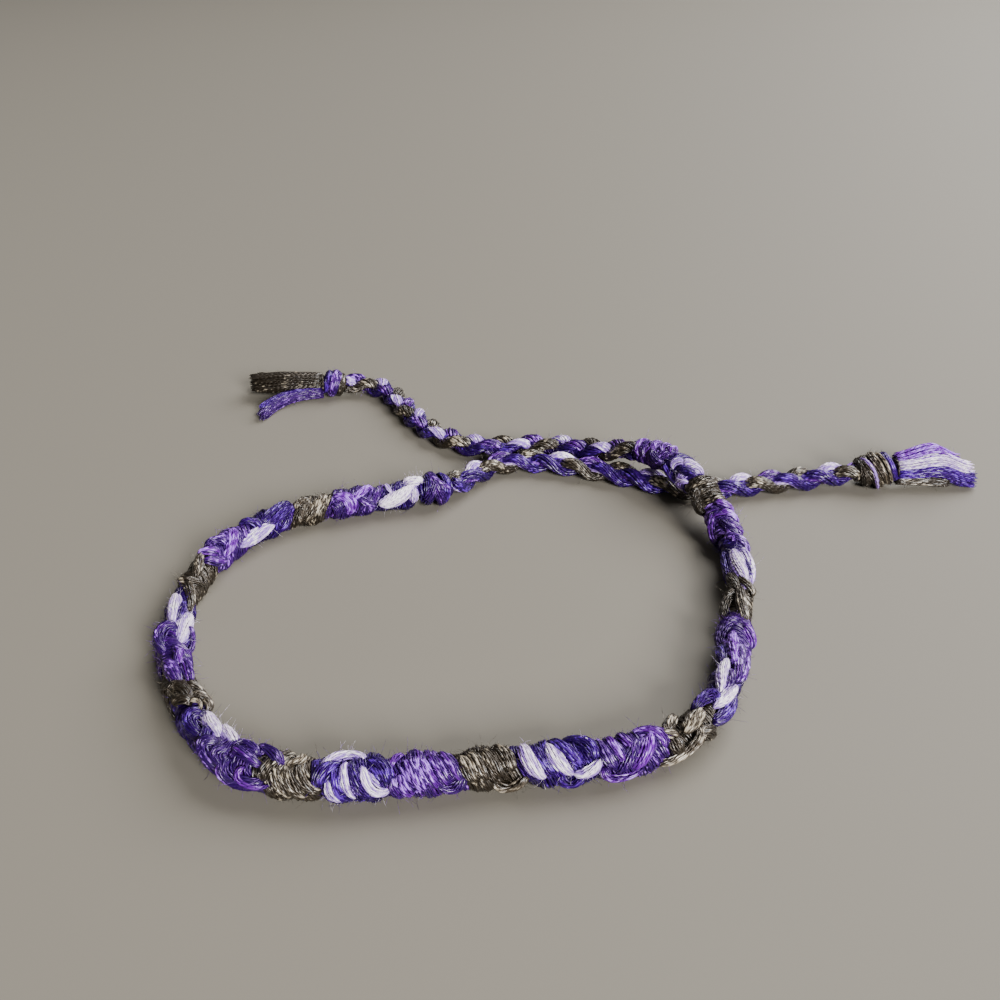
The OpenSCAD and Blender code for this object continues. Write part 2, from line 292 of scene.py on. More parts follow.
# Band of hitches
# Six flosses, in turn the one that is worked and the ones that are covered: each block of colour is
# one floss hitched round the others, four to eight times. It is worked from the raised end, so each
# hitch leans over the one before it, and its locked knot stands out of the band.
BAND_START = [19.6, 24.9]
BAND_HEADING = -45
BAND_START_LIFT = 2.4
BED_SINK = 0.07       # share of its half width by which the band settles on the table
BED_PRESS = 0.3       # how far its underside is pressed out flat there
PLY = 0.108           # half thickness of a ply
PLY_STEP = 0.18       # distance from one ply to the next in a hitch
FILL_INSET = 0.72     # from the band's full width in to the flosses that the hitches cover
HITCH_INSET = 0.28    # from the band's full width in to the hitches
HITCH_CROWN = 0.05    # swell of a hitch over its neighbours
WAIST = 0.34          # how much thinner a block is at its two ends
LUMP = 0.12           # height of the soft lumps along a hitch
KNOB = 0.2            # height of a hitch's locked knot
KNOB_AT, KNOB_SPAN = 38, 28   # degrees from the hitch's start, and degrees over which it fades
TUCK = 0.34           # how deep a hitch's two ends go in
LAP_DOME = 0.32       # swell of a loose lap
LAP_TUCK = 0.65       # how deep its two ends go in

# colour, length, turn to the left, width over the hitches, lift at the far end, how far the hitches
# lean forward on the loop's outside and on top, where their knots are locked, and for each hitch
# its floss and its share of the block's length
BLOCKS = [
    ["purple", 5.3, -11, 3.7, 2.8, 0.4, 0.3, 250, "p2 p3 p2 p2"],
    ["dark_white", 4.3, -8, 3.9, 1.9, 0.4, 0.3, 250, "d3 d2 w2 d1"],
    ["brown", 3.9, -10, 3.9, 0.8, 0.4, 0.3, 250, "b2 b3 b2"],
    ["purple", 5.0, -14, 3.8, 0.0, 0.5, 0.2, 250, "p2 p3 p2 p2"],
    ["dark_white", 7.6, -13, 3.7, 0.0, 0.6, 0.2, 250, "d3 d3 d2 d3 d2"],
    ["brown", 6.2, -4, 3.6, 0.0, 0.6, 0.2, 250, "b2 b3 b2 b2 b2"],
    ["purple", 5.4, -3, 3.9, 0.0, 0.7, 0.2, 250, "p3 p2 p3 p2"],
    ["dark_white", 6.8, -15, 3.8, 0.0, 0.8, 0.3, 240, "d2 d2 d2 d2 d3"],
    ["brown", 6.3, -30, 3.9, 0.0, 0.2, 0.5, 240, "b2 b3 b2 b2 b2"],
    ["purple", 5.8, -20, 3.8, 0.0, -0.3, 0.7, 235, "p2 p2 p2 p2 p2"],
    ["dark_white", 6.1, -3, 3.9, 0.0, -0.4, 0.8, 235, "d2 d3 d2 d2 d2"],
    ["brown", 4.8, 5, 3.8, 0.0, -0.4, 0.7, 235, "b2 b2 b2 b2 b2"],
    ["purple", 5.2, -4, 3.8, 0.0, -0.4, 0.7, 235, "p2 p2 p2 p3 p2"],
    ["dark_white", 5.5, -6, 4.0, 0.0, -0.3, 0.6, 235, "d2 d3 d2 d2 d2"],
    ["brown", 4.4, -15, 3.8, 0.0, 0.0, 0.5, 240, "b2 b2 b2 b2"],
    ["purple", 5.6, -32, 4.2, 0.0, 0.3, 0.4, 245, "p3 p2 p2 p3"],
    ["dark_white", 5.8, -11, 3.9, 0.0, 0.8, 0.3, 255, "d2 d2 d2 d2 d3"],
    ["brown", 3.6, -8, 3.9, 0.0, 0.9, 0.3, 265, "b3 b2 b2"],
    ["purple", 6.5, -12, 4.0, 0.0, 0.8, 0.3, 275, "p2 p2 p3 p2 p3"],
    ["dark_white", 5.6, -11, 3.6, 0.0, 0.7, 0.3, 285, "d2 d3 d2 d2 d2"],
    ["brown", 6.2, -17, 3.6, 0.0, 0.5, 0.4, 295, "b2 b3 b2 b2 b2"],
    ["purple", 5.7, -17, 3.9, 0.0, 0.4, 0.5, 305, "p2 p3 p2 p2"],
    ["dark_white", 5.9, -24, 3.7, 0.0, 0.4, 0.6, 310, "d2 d3 d2 p2"],
    ["brown", 4.2, -13, 3.6, 0.0, 0.4, 0.7, 315, "b2 b2 b2"],
    ["purple", 5.6, -2, 3.9, 0.0, 0.4, 0.7, 320, "p3 p3 p2 p2"],
    ["dark_white", 4.8, -8, 3.8, 0.0, 0.4, 0.7, 320, "d2 d2 d2 d2"],
]

# Levels of painted light and shade on a floss, from the darkest to the lightest
PAINTED_LIGHT_LEVELS = {"=": -0.05, "-": 0.22, "": 0.5, "+": 0.78, "^": 1.05}

# Loose laps of floss that cross over the hitches: floss and its painted light or shade, width, and the
# share of the block's length and the angle round it at the lap's start, middle and end
LAPS = {
    "purple_1": [
        ["p+", 0.9, 0.55, 60, 0.42, 95, 0.52, 132], ["p+", 0.9, 0.76, 56, 0.66, 86, 0.74, 116],
        ["p+", 0.7, 0.93, 58, 0.86, 82, 0.92, 104], ["p-", 1.6, 0.50, 132, 0.66, 160, 0.98, 172],
        ["p+", 0.8, 0.20, 80, 0.10, 130, 0.24, 178], ["p", 0.9, 0.36, 84, 0.27, 130, 0.42, 180]],
    "dark_white_1": [
        ["w", 1.7, 0.98, 62, 0.66, 80, 0.48, 112], ["w-", 0.9, 0.52, 104, 0.32, 128, 0.34, 162],
        ["d-", 1.2, 0.50, 142, 0.76, 120, 1.02, 108], ["w-", 0.8, 0.58, 174, 0.76, 162, 0.96, 150],
        ["d", 1.3, 0.05, 165, 0.24, 190, 0.60, 205]],
    "brown_1": [
        ["b-", 0.6, 0.16, 50, 0.26, 84, 0.22, 118], ["b", 0.6, 0.42, 48, 0.52, 80, 0.46, 116],
        ["b-", 0.6, 0.72, 48, 0.80, 78, 0.74, 112], ["b", 0.5, 0.98, 52, 1.02, 76, 0.96, 106],
        ["b=", 2.2, 0.44, 132, 0.60, 166, 1.00, 186]],
    "purple_2": [
        ["p+", 1.5, 0.05, 100, 0.20, 70, 0.30, 30], ["p+", 1.4, 0.38, 102, 0.50, 68, 0.60, 30],
        ["p", 1.2, 0.68, 100, 0.82, 68, 0.92, 30], ["p", 1.6, 0.30, 130, 0.60, 172, 0.90, 190],
        ["p-", 1.1, 0.60, 112, 0.86, 96, 1.05, 64]],
    "dark_white_2": [
        ["p-", 1.7, 0.10, 125, 0.16, 75, 0.36, 25], ["w", 2.4, 0.42, 108, 0.78, 96, 1.22, 66],
        ["w", 1.2, 0.42, 78, 0.62, 50, 1.10, 38], ["d-", 0.5, 0.66, 74, 0.82, 62, 0.98, 50],
        ["d", 1.3, 0.35, 155, 0.70, 150, 1.02, 144], ["p+", 0.4, -0.05, 108, 0.12, 100, 0.22, 95]],
    "brown_2": [
        ["b-", 1.5, -0.08, 140, 0.12, 124, 0.36, 104], ["b", 1.1, 0.08, 100, 0.25, 60, 0.35, 25],
        ["b+", 1.5, 0.30, 94, 0.70, 84, 1.20, 60], ["b-", 1.8, 0.52, 120, 0.62, 150, 0.96, 168],
        ["b-", 0.9, 0.44, 112, 0.50, 140, 0.56, 180]],
    "purple_3": [
        ["p-", 1.9, 0.30, 92, 0.44, 138, 0.86, 160], ["p+", 1.6, 0.38, 70, 0.50, 40, 0.66, 5],
        ["p+", 1.2, 0.60, 102, 1.05, 92, 1.45, 74], ["p", 1.3, 0.85, 70, 1.30, 62, 1.75, 52],
        ["p", 0.9, 1.00, 40, 1.40, 38, 1.70, 40]],
    "dark_white_3": [
        ["d-", 1.7, 0.02, 150, 0.10, 130, 0.34, 118], ["w", 1.4, 0.26, 100, 0.55, 99, 0.90, 76],
        ["d", 1.7, 1.08, 68, 1.04, 98, 1.36, 122], ["w", 1.4, 0.62, 40, 0.88, 48, 1.14, 66],
        ["d", 1.9, 0.76, 26, 1.02, 14, 1.30, 30], ["p-", 0.9, 0.45, 75, 0.60, 68, 0.75, 60]],
    "brown_3": [
        ["b+", 1.6, 0.36, 80, 0.56, 74, 0.78, 56], ["b-", 1.5, 0.66, 34, 0.48, 16, 0.42, -14],
        ["b+", 1.1, 0.54, 48, 0.74, 8, 1.20, -14], ["b+", 0.8, 1.10, 80, 1.00, 68, 0.90, 52],
        ["b-", 1.2, 0.70, 122, 0.86, 106, 0.98, 84], ["b-", 1.2, 0.98, 56, 0.96, 30, 0.92, 4]],
    "purple_4": [
        ["p-", 1.26, 0.78, -5, 0.62, 38, 0.44, 88], ["p+", 1.49, 0.58, 0, 0.38, 45, 0.20, 100],
        ["p", 1.95, 0.46, 128, 0.16, 92, 0.10, 40], ["p", 1.03, 0.99, 112, 0.93, 60, 0.78, 8],
        ["p", 1.03, 0.83, 120, 0.77, 70, 0.66, 26], ["p", 0.92, 0.67, 125, 0.60, 92, 0.52, 52],
        ["p+", 0.92, 0.96, 14, 0.80, -20, 0.42, -10]],
    "dark_white_4": [
        ["w", 1.51, 0.96, 114, 0.86, 50, 0.69, -2], ["d", 0.9, 0.83, 106, 0.74, 55, 0.57, 4],
        ["w", 1.51, 0.65, 110, 0.53, 52, 0.34, 4], ["d", 1.6, 0.60, 128, 0.42, 76, 0.25, 34],
        ["d", 1.6, 0.44, 132, 0.15, 100, 0.05, 48], ["w", 1.12, 0.34, 6, 0.14, 12, -0.01, 44],
        ["d", 1.0, 0.52, 6, 0.38, -30, 0.20, -5], ["w", 0.3, 0.30, 122, 0.15, 108, 0.11, 78]],
    "brown_4": [
        ["b", 1.22, 0.96, 86, 0.86, 45, 0.72, 0], ["b", 1.22, 0.80, 96, 0.68, 55, 0.53, 4],
        ["b", 1.49, 0.62, 106, 0.46, 60, 0.32, 14], ["b", 1.49, 0.42, 116, 0.25, 75, 0.15, 28],
        ["b+", 1.22, 0.46, -4, 0.20, -30, -0.10, 4]],
    "purple_5": [
        ["p", 1.22, 0.26, 112, 0.12, 60, 0.00, 16], ["p", 1.22, 0.42, 106, 0.28, 50, 0.15, 6],
        ["p", 1.22, 0.58, 100, 0.45, 45, 0.32, 0], ["p", 1.22, 0.75, 96, 0.62, 40, 0.50, -4],
        ["p-", 1.22, 0.34, 10, 0.10, -6, -0.06, 26], ["p", 2.03, 0.64, 134, 0.62, 96, 0.60, 58],
        ["p+", 0.6, 0.80, 120, 0.90, 96, 0.98, 74], ["p", 1.08, 0.97, 42, 0.93, 5, 0.82, -22],
        ["p", 1.08, 0.85, 46, 0.78, 5, 0.68, -16]],
    "dark_white_5": [
        ["d", 1.38, 0.52, 92, 0.42, 30, 0.18, -26], ["w", 1.76, 0.37, 76, 0.27, 15, 0.00, 2],
        ["d", 1.49, 0.30, 98, 0.12, 70, 0.02, 24], ["w", 0.8, 0.58, 88, 0.60, 40, 0.46, -22],
        ["d", 1.03, 0.72, 72, 0.70, 20, 0.58, -26], ["w", 0.8, 0.83, 38, 0.78, 0, 0.65, -28],
        ["d", 1.38, 0.68, 86, 0.90, 60, 0.97, 18], ["w", 1.44, 0.94, 70, 0.62, 120, 0.32, 94]],
    "brown_5": [
        ["b", 1.22, 0.30, 86, 0.20, 40, -0.08, 0], ["b", 1.22, 0.50, 76, 0.38, 30, 0.15, -20],
        ["b", 1.22, 0.68, 70, 0.58, 25, 0.40, -20], ["b-", 1.76, 0.48, 102, 0.75, 70, 0.86, 24],
        ["b+", 1.08, 0.30, 122, 0.30, 96, 0.52, 76], ["b-", 1.22, 0.46, 134, 0.70, 116, 0.92, 112]],
    "purple_6": [
        ["p=", 1.9, 0.72, 70, 0.82, 44, 0.52, 12], ["p=", 1.4, 0.50, 70, 0.58, 46, 0.38, 26],
        ["p=", 1.9, 0.42, 52, 0.32, 6, -0.08, 2], ["p", 1.0, 0.42, 80, 0.24, 76, -0.02, 60],
        ["p+", 0.35, 0.46, 46, 0.44, 2, 0.18, -14], ["p+", 0.55, 0.16, 46, 0.16, 10, -0.15, 0],
        ["p=", 1.0, 0.14, 114, -0.12, 102, -0.32, 70], ["p=", 1.0, 0.40, 100, 0.22, 104, 0.06, 92]],
    "dark_white_6": [
        ["w", 2.03, 0.02, 134, -0.26, 124, -0.58, 108], ["w", 1.9, 0.38, 116, 0.10, 108, -0.20, 98],
        ["d-", 2.0, 0.44, 104, 0.40, 56, 0.04, 54], ["d", 1.2, 0.10, 92, -0.06, 70, -0.14, 40]],
    "brown_6": [
        ["b-", 2.1, 0.14, 44, 0.10, 84, -0.44, 96], ["b-", 1.2, -0.20, 44, -0.26, 70, -0.50, 94],
        ["b", 1.7, -0.28, 112, -0.36, 140, -0.72, 160], ["b-", 1.3, 0.16, 108, 0.02, 132, -0.30, 156],
        ["b+", 0.5, -0.50, 92, -0.60, 104, -0.78, 112], ["b+", 0.5, -0.52, 128, -0.66, 132, -0.84, 134]],
    "purple_7": [
        ["p-", 2.1, 0.90, 102, 0.75, 50, 0.38, 60], ["p+", 0.8, 0.34, 96, 0.18, 106, 0.02, 96],
        ["p+", 0.8, 0.30, 124, 0.16, 112, 0.00, 110], ["p", 1.3, 0.08, 122, -0.16, 126, -0.42, 126],
        ["p", 1.8, 0.12, 62, -0.10, 80, -0.40, 88], ["p", 0.8, 0.96, 150, 0.70, 166, 0.38, 160]],
    "dark_white_7": [
        ["d", 0.9, 0.10, 38, -0.15, 75, -0.15, 112], ["w", 2.0, 0.78, 76, 0.44, 84, -0.10, 90],
        ["d", 0.9, 0.62, 114, 0.32, 114, 0.00, 108], ["w", 2.62, 0.36, 152, 0.00, 140, -0.60, 118],
        ["d", 0.8, -0.08, 178, -0.30, 166, -0.52, 150]],
    "brown_7": [
        ["b-", 1.3, 0.22, 52, 0.14, 102, 0.30, 170], ["b", 1.4, 1.00, 62, 0.68, 94, 0.34, 116],
        ["b", 1.3, 0.12, 94, -0.10, 124, -0.46, 152]],
    "purple_8": [
        ["p+", 1.3, -0.18, 68, -0.06, 104, 0.05, 136], ["p", 1.3, -0.30, 110, -0.16, 150, 0.15, 182],
        ["p+", 1.4, 0.72, 94, 0.50, 130, 0.18, 168], ["p-", 1.3, 0.10, 60, 0.30, 96, 0.34, 128]],
    "dark_white_8": [
        ["d", 1.1, -0.05, 76, 0.14, 114, 0.20, 152], ["d", 1.3, 1.00, 72, 0.64, 106, 0.28, 128],
        ["d", 1.3, 1.00, 112, 0.74, 136, 0.30, 152], ["w", 2.1, 0.52, 160, 0.14, 170, -0.38, 176],
        ["d", 1.0, 0.86, 148, 0.76, 176, 0.54, 198]],
    "brown_8": [
        ["b", 1.2, 0.52, 92, 0.24, 106, 0.08, 122], ["b+", 1.5, 0.96, 82, 0.66, 140, 0.20, 202],
        ["b", 1.0, 0.32, 138, 0.14, 160, 0.04, 192]],
    "purple_9": [
        ["p+", 1.6, 0.12, 108, 0.42, 150, 0.32, 202], ["p+", 1.1, 0.88, 92, 0.66, 120, 0.48, 142],
        ["p", 1.1, 0.54, 138, 0.76, 166, 0.86, 188], ["p-", 1.1, 0.05, 150, 0.14, 172, 0.12, 200]],
    "dark_white_9": [
        ["w+", 2.25, -0.02, 184, 0.40, 166, 0.88, 112], ["w", 1.05, 0.86, 128, 0.84, 160, 0.80, 192],
        ["w+", 2.4, 1.08, 92, 0.88, 84, 0.62, 86], ["w", 0.5, 0.18, 92, 0.24, 120, 0.30, 142]],
}

# How far the hitches lie below the laps, where the laps are drawn up into knobs, and how much darker
# they are painted there as shade
SUNK = {"dark_white_2": 0.15, "brown_2": 0.25, "purple_3": 0.15, "dark_white_3": 0.25, "brown_3": 0.45,
        "purple_6": 0.20, "dark_white_6": 0.25, "brown_6": 0.20, "purple_7": 0.20,
        "dark_white_7": 0.20, "brown_7": 0.20, "purple_8": 0.15, "dark_white_8": 0.15,
        "purple_9": 0.10, "dark_white_9": 0.15}


def ease(u):
    return u * u * (3 - 2 * u)


def walk(start, distance, turn):
    """Place and heading after a distance along an arc that turns by so many degrees."""
    distance, turn = np.broadcast_arrays(np.asarray(distance, float), np.asarray(turn, float))
    turned = np.radians(np.where(np.abs(turn) < 0.01, 0.01, turn))
    heading = np.radians(start[2])
    radius = distance / turned
    return (start[0] + radius * (np.sin(heading + turned) - np.sin(heading)),
            start[1] - radius * (np.cos(heading + turned) - np.cos(heading)),
            start[2] + np.degrees(turned))


def further(start, distance, turn=0):
    """One place and heading further on, as a start for what comes next."""
    return [float(v) for v in walk(start, distance, turn)]


def around(x, y, z, heading, angle, radius):
    """Points at an angle and a radius round a middle line, and the way out from it there."""
    heading, angle = np.radians(heading), np.radians(angle)
    out = np.stack(np.broadcast_arrays(-np.sin(heading) * np.cos(angle),
                                       np.cos(heading) * np.cos(angle), np.sin(angle)), -1)
    middle = np.stack(np.broadcast_arrays(x, y, z), -1)
    return middle + out * np.asarray(radius)[..., None], out


def bundle(wide, fine=1, least=3):
    """Plies side by side: their number, their places across, and 1 on the crown down to 0."""
    plies = max(least, round(wide / PLY_STEP / fine))
    across = (np.arange(plies) - (plies - 1) / 2)[:, None]
    return plies, across * (wide / plies), 1 - (2 * across / plies) ** 2


def near_ends(x, fade):
    """1 at the first and the last x, fading between them."""
    return np.exp((x[0] - x) / fade) + np.exp((x - x[-1]) / fade)


def hitched_block(number, start, lift, leans, row, laps, sunk):
    """One block of hitches, laid ply by ply round the flosses that it covers."""
    colour, length, turn, width, end_lift, _, _, knots_at, hitches = row
    floss = Floss(number)
    chance = floss.chance
    half = width / 2

    def middle_line(s):
        u = s / length
        x, y, heading = walk(start, s, turn * u)
        z = lift + (end_lift - lift) * ease(u.clip(0, 1)) + half * (1 - BED_SINK)
        return x, y, z, heading

    def on_band(s, angle, radius):
        x, y, z, heading = middle_line(s)
        points, out = around(x, y, z, heading, angle, radius)
        lying = np.exp(-np.broadcast_to(z - half, points.shape[:-1]).clip(0) / BED_PRESS)
        points[..., 2] -= (BED_PRESS + sunk) * lying * (-out[..., 2]).clip(0)
        points[..., 2] = np.maximum(points[..., 2], PLY)
        return points, out

    # the covered flosses show only as a filling between the hitches, painted at their darkest as shade
    middle = np.stack(middle_line(np.linspace(0.1, length - 0.1, 6))[:3], -1)
    floss.lay(middle[None], (0, 0, 1), "d" if colour == "dark_white" else colour[0],
              half - FILL_INSET - sunk, sides=12, tone=0.0, spread=0, fuzzy=False)

    # each ply of a hitch goes a little more than once round the band
    shares = [(one[0], float(one[1:])) for one in hitches.split()]
    total = sum(share for _, share in shares)
    at = 0
    wound = np.linspace(-10, 370, 34)
    pinch = 1.08 - 0.35 * near_ends(wound, 30)
    ends = near_ends(wound, 12)
    knob = np.exp(-((wound - KNOB_AT) / KNOB_SPAN) ** 2)
    for finish, share in shares:
        wide = share / total * length
        plies, across, crown = bundle(wide)
        angle = knots_at + chance.uniform(-10, 10) + wound + chance.normal(0, 2, (plies, 1))
        wobble = np.sin(np.radians(wound) * chance.uniform(1.5, 4, (plies, 1))
                        + chance.uniform(0, 2 * np.pi, (plies, 1)))
        lean = leans[0] + (leans[1] - leans[0]) * (at + wide / 2) / length
        s = (at + wide / 2 + across * pinch + lean[0] * np.cos(np.radians(angle))
             + lean[1] * np.sin(np.radians(angle)) + 0.045 * wobble)
        waist = 1 - np.sin(np.pi * (s / length).clip(0.02, 0.98)) ** 0.7
        lumps = np.sin(2.3 * s + 1.9 * np.radians(angle) + 2 * number)
        radius = (half - PLY - HITCH_INSET - sunk + HITCH_CROWN * min(wide, 1.4) * (crown - 0.75)
                  - WAIST * waist + LUMP * lumps + KNOB * knob - TUCK * ends
                  + chance.normal(0, 0.035, (plies, 1)) + 0.03 * wobble)
        points, out = on_band(s, angle, radius)
        # painted light and shade: the hitches are darker than the laps, darker still the deeper they are
        # sunk and where their ends tuck in, and a little lighter on each bundle's crown
        floss.lay(points, out, finish, PLY, PLY * 1.05, spread=0.36,
                  tone=0.26 - 0.7 * sunk + 0.08 * crown - 0.2 * ends)
        at += wide

    # the loose laps bend through three places, flat on the hitches that they cross
    u = np.linspace(-0.03, 1.03, 24)
    t = u[:, None]
    ends = near_ends(u, 0.09)
    for finish, wide, *places in laps:
        first, over, last = (np.array([places[k] * length, np.radians(places[k + 1]) * half])
                             for k in (0, 2, 4))
        bend = 2 * over - (first + last) / 2
        path = (1 - t) ** 2 * first + 2 * t * (1 - t) * bend + t ** 2 * last
        way = np.gradient(path, axis=0)
        way /= np.linalg.norm(way, axis=1, keepdims=True)
        aside = np.stack([-way[:, 1], way[:, 0]], -1)
        # the white flosses lie in finer plies that come to a point, and get more painted light on their
        # crowns
        fine, least, lit = (0.75, 0.25, 0.5) if finish[0] == "w" else (1, 0.46, 0.34)
        plies, across, crown = bundle(wide, fine, least=2)
        swell = least + (1 - least) * np.sin(np.pi * u.clip(0, 1)) ** 0.7
        wobble = np.sin(u * chance.uniform(4, 9, (plies, 1)) + chance.uniform(0, 6, (plies, 1)))
        at = path + ((across + 0.04 * wobble) * swell)[..., None] * aside
        radius = (half - PLY + 0.03 + LAP_DOME * min(wide, 1.8) * (crown - 0.85)
                  - LAP_TUCK * ends + chance.normal(0, 0.02, (plies, 1)) + 0.02 * wobble[:, ::-1])
        points, out = on_band(at[..., 0], np.degrees(at[..., 1] / half), radius)
        # painted light and shade: each lap has its level, is lighter on its crown and darker where its
        # ends tuck in
        floss.lay(points, out, finish[0], PLY * fine, PLY * fine * 1.05, spread=0.34,
                  tone=PAINTED_LIGHT_LEVELS[finish[1:]] - 0.30 + lit * crown - 0.4 * ends)
    floss.fuzz(0.09)
    return floss


counts = {"purple": 0, "dark_white": 0, "brown": 0}
here, lift = [*BAND_START, BAND_HEADING], BAND_START_LIFT
block_leans = np.array([row[5:7] for row in BLOCKS])
edges = np.vstack([block_leans[:1], (block_leans[1:] + block_leans[:-1]) / 2, block_leans[-1:]])
for number, row in enumerate(BLOCKS):
    colour, length, turn = row[:3]
    counts[colour] += 1
    block_name = f"{colour}_{counts[colour]}"
    block = hitched_block(number, here, lift, edges[number:number + 2], row, LAPS[block_name],
                          SUNK.get(block_name, 0))
    block.piece(f"{colour}_hitches_{counts[colour]}", colour)
    here, lift = further(here, length, turn), row[4]
BAND_END = here


# Ball knot
# All six flosses are gathered and tied in one overhand knot, which closes the band. It is dark violet
# and purple outside, with two passes of purple floss across it.
BLOCK_GAP = 0.06       # from one piece to the next
KNOT_SINK = 0.1        # share of its half thickness by which a knot settles on the table
KNOT_END = 0.58        # how thick a knot is at its ends, as a share of its middle
KNOT_PULL = 0.93       # share of the solid's thickness that the wraps reach
CORE_INSET = 0.9       # from a knot's full half thickness in to its core
WRAP_DOME = 0.34       # swell of a wrap
WRAP_TUCK = 0.4        # how deep its two ends go in
SLANT_DOME = 0.22      # the same for the passes that slant over the wraps
SLANT_TUCK = 0.5


def knot_of_floss(seed, start, length, thick, turn, wraps, slants):
    """A pulled-tight knot: bundles of plies wound round the gathered flosses.

    wraps: floss and its painted light or shade, share of the length, width, lean along the knot, angle
    where it begins.
    slants, on top: floss and its painted light or shade, share and angle at the start, the same at the
    end, width.
    """
    floss = Floss(seed)
    chance = floss.chance
    z = thick / 2 * (1 - KNOT_SINK)
    inner = wraps[0][0][0]

    def on_knot(s, angle, radius):
        x, y, heading = walk(start, s, turn * s / length)
        points, out = around(x, y, z, heading, angle, radius)
        points[..., 2] = np.maximum(points[..., 2], PLY)
        return points, out

    def belly(s):
        u = (s / length).clip(0, 1)
        return KNOT_PULL * thick / 2 * (KNOT_END + (1 - KNOT_END) * np.sin(np.pi * u) ** 0.8)

    # the gathered flosses inside, painted at their darkest as shade
    s = np.linspace(0.15, length - 0.15, 6)
    x, y, _ = walk(start, s, turn * s / length)
    middle = np.stack(np.broadcast_arrays(x, y, z), -1)
    floss.lay(middle[None], (0, 0, 1), inner, thick / 2 - CORE_INSET, sides=12, tone=0.0, spread=0,
              fuzzy=False)

    # the two ends, where the flosses go in: each has three plies that wind inwards
    u = np.linspace(0, 1, 60)
    for end, inward in ((0.1, 1), (length - 0.1, -1)):
        for begin in (0, 120, 240):
            radius = 0.25 + (belly(np.array(end)) - 0.2) * u
            points, _ = on_knot(end - inward * 0.3 * (1 - u ** 2), begin + 540 * u, radius)
            floss.lay(points[None], (0, 0, 1), inner, PLY * 1.3, tone=0.3)

    wound = np.linspace(0, 360, 37)
    for finish, at, wide, lean, begin in wraps:
        plies, across, crown = bundle(wide)
        s = (at * length + across + lean * np.sin(np.radians(wound + begin))).clip(
            -0.05, length + 0.05)
        radius = (belly(s) - PLY + WRAP_DOME * (crown - 0.7) - WRAP_TUCK * near_ends(wound, 14)
                  + chance.normal(0, 0.02, (plies, 1)))
        points, out = on_knot(s, begin + wound + chance.normal(0, 2, (plies, 1)), radius)
        # painted light and shade: each wrap has its level, lighter on its crown
        floss.lay(points, out, finish[0], PLY, PLY * 1.05,
                  tone=PAINTED_LIGHT_LEVELS[finish[1:]] - 0.25 + 0.3 * crown)

    u = np.linspace(0, 1, 19)
    for finish, first, first_angle, last, last_angle, wide in slants:
        _, across, crown = bundle(wide)
        s = (first + (last - first) * u) * length + across * 0.8
        angle = (first_angle + (last_angle - first_angle) * u
                 + np.degrees(across / (thick / 2)) * 0.5)
        radius = belly(s) + SLANT_DOME * crown - 0.12 - SLANT_TUCK * near_ends(u, 0.05)
        points, out = on_knot(s, angle, radius)
        # painted light and shade: each pass has its level, lighter on its crown
        floss.lay(points, out, finish[0], PLY, PLY * 1.05,
                  tone=PAINTED_LIGHT_LEVELS[finish[1:]] - 0.1 + 0.2 * crown)
    floss.fuzz(0.05)
    return floss


BALL_KNOT_L, BALL_KNOT_D, BALL_TURN = 3.2, 4.4, 28   # length, thickness, degrees to the left
ball = knot_of_floss(40, further(BAND_END, BLOCK_GAP), BALL_KNOT_L, BALL_KNOT_D, BALL_TURN,
                     [["d", 0.2, 1.1, 0.3, 20], ["p-", 0.55, 1.2, -0.5, 20], ["d", 0.82, 1.1, 0.3, 20]],
                     [["p", 0.30, 95, 0.95, 175, 0.9], ["p-", 0.1, 200, 0.5, 110, 0.8]])
ball.piece("ball_knot", "purple")


# Plaited ties
# At each end the six flosses go on as a plait of three pairs: one brown, one purple, and one of dark
# violet with lilac white. The right tie leaves the ball knot, the left one leaves the raised end.
PLAIT_PITCH = 11       # length over which a strand comes back to the same place
PLAIT_SWING = 0.74     # how far a strand swings to each side of the plait's middle
PLAIT_LIFT = 0.56      # how far it rises and dips as it crosses the others
STRAND_HALF_W = 0.66   # from the strand's middle to the middle of its outer plies
STRAND_HALF_T = 0.54
PLAIT_PLY = 0.14       # half thickness of a ply in the looser plait
PLAIT_FLOOR = 0.18     # lowest middle of such a ply
# the plies of each strand, in their order round it
STRANDS = [["brown", "b" * 15], ["purple", "d" + "p" * 7 + "d" * 7],
           ["dark_white", "d" + "w" * 6 + "d" * 8]]
# points that each tie goes through, from the band to its end knot
RIGHT_TIE = [
    [-2.8, 20.4, 2.0], [-1.6, 21.5, 1.7], [-0.4, 23.1, 1.4], [0.9, 24.9, 1.3], [2.6, 26.3, 1.3],
    [4.7, 27.1, 1.3], [7.0, 27.2, 1.3], [9.4, 26.8, 1.3], [11.8, 26.1, 1.3], [14.0, 25.4, 1.3],
    [16.1, 24.6, 1.3], [18.3, 23.6, 1.3], [20.7, 22.4, 1.3], [23.4, 21.2, 1.3], [26.2, 20.6, 1.3],
    [29.0, 20.7, 1.3], [31.6, 21.4, 1.3], [34.4, 22.1, 1.3], [37.4, 22.6, 1.3], [40.4, 23.1, 1.4],
    [42.8, 23.5, 1.6], [45.0, 23.6, 1.9]]
LEFT_TIE = [
    [19.5, 25.0, 4.1], [18.1, 26.0, 3.5], [16.4, 27.2, 2.8], [14.4, 28.6, 2.2], [12.3, 29.8, 1.8],
    [10.1, 30.6, 1.5], [7.8, 31.0, 1.4], [5.5, 31.1, 1.3], [3.3, 30.9, 1.3], [1.1, 30.9, 1.3],
    [-1.1, 31.5, 1.3], [-3.2, 32.9, 1.3], [-5.2, 34.8, 1.3], [-7.0, 37.2, 1.3], [-8.6, 40.0, 1.3],
    [-10.0, 42.9, 1.3], [-11.6, 45.9, 1.3], [-13.6, 48.2, 1.3], [-16.0, 49.1, 1.5], [-18.4, 48.8, 1.8]]


